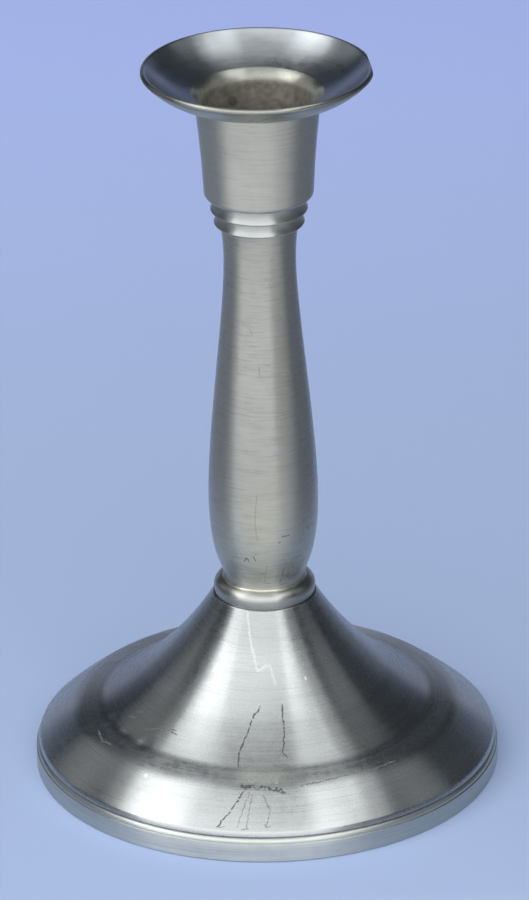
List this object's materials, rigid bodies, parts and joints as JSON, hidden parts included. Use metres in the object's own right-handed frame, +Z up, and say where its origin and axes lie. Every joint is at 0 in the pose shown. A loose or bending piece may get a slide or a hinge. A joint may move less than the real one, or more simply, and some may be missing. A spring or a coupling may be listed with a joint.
{
  "type": "candlestick",
  "caption": "Pewter column candlestick: a weighted trumpet foot with a banded rim, a baluster stem, a ringed knop, a tapered candle cup and a dished drip pan.",
  "frame": {"origin": "centre of the foot on the table plane, on the stem's axis", "axes": "+Z up along the stem's axis; +X to the right and -Y towards the viewer of the picture"},
  "size_m": [0.1066, 0.1066, 0.17],
  "materials": {
    "pewter_satin": "satin, spun",
    "pewter_turned": "turned, burnished",
    "steel": "plain",
    "filling": "cast, rough",
    "board": "matt",
    "felt": "felted"
  },
  "bodies": {
    "root": {"base_board": "board", "base_nut": "steel", "base_washer": "steel", "candle_cup": "pewter_satin", "drip_pan": "pewter_satin", "felt_pad": "felt", "foot_rim": "pewter_turned", "foot_shell": "pewter_satin", "ring_knop": "pewter_turned", "stem_collar": "pewter_turned", "stem_shell": "pewter_satin", "tie_rod": "steel", "top_nut": "steel", "weight_filling": "filling"}
  },
  "joints": []
}
